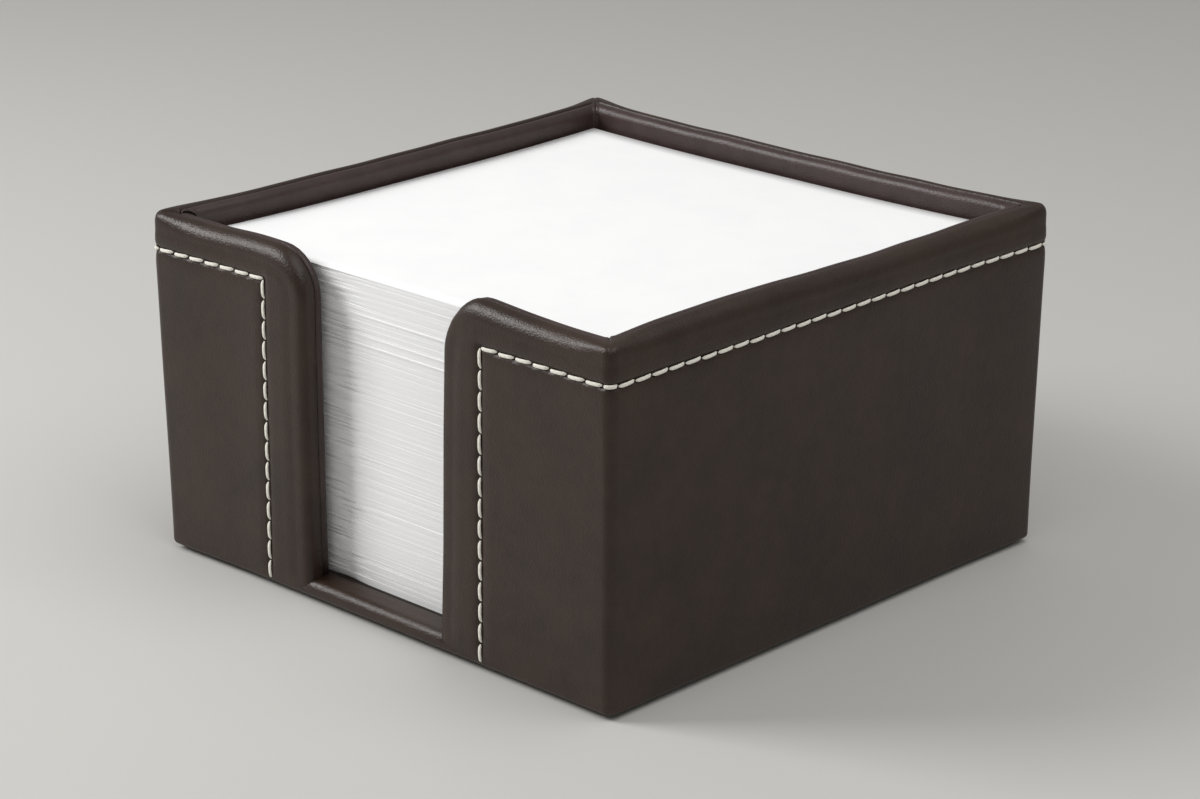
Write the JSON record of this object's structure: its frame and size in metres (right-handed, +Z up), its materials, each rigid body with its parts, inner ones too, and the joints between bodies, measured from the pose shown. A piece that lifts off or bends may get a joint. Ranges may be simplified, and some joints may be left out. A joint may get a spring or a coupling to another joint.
{
  "type": "memo pad holder",
  "caption": "Square leather-covered desk box for loose note sheets, open on top, with a thumb slot in the front wall and contrast seams.",
  "frame": {"origin": "centre of the footprint, on the surface the holder stands on", "axes": "+Z up, out of the open top; -Y out of the slotted front wall; +X to the right of someone who faces the slot"},
  "size_m": [0.1024, 0.1024, 0.0584],
  "materials": {
    "cover_leather": "satin",
    "lining": "satin",
    "board": "matte",
    "card": "matte",
    "foam": "matte",
    "felt": "matte",
    "thread": "matte",
    "paper": "matte"
  },
  "bodies": {
    "holder": {"felt_pad": "felt", "base_board": "card", "infill_card": "card", "floor_lining": "lining", "leather_cover": "cover_leather", "seam_thread": "thread", "left_board": "board", "back_board": "board", "right_board": "board", "front_left_board": "board", "front_right_board": "board", "left_foam": "foam", "back_foam": "foam", "right_foam": "foam", "front_left_foam": "foam", "front_right_foam": "foam", "left_lining": "lining", "back_lining": "lining", "right_lining": "lining", "front_left_lining": "lining", "front_right_lining": "lining"},
    "stack": {"note_stack": "paper"},
    "sheet": {"top_note": "paper"}
  },
  "joints": [
    {"name": "stack_lift", "type": "slide", "parent": "holder", "child": "stack", "axis": [0, 0, 1], "range_m": [0, 0.07]},
    {"name": "sheet_lift", "type": "slide", "parent": "stack", "child": "sheet", "axis": [0, 0, 1], "range_m": [0, 0.04]}
  ]
}
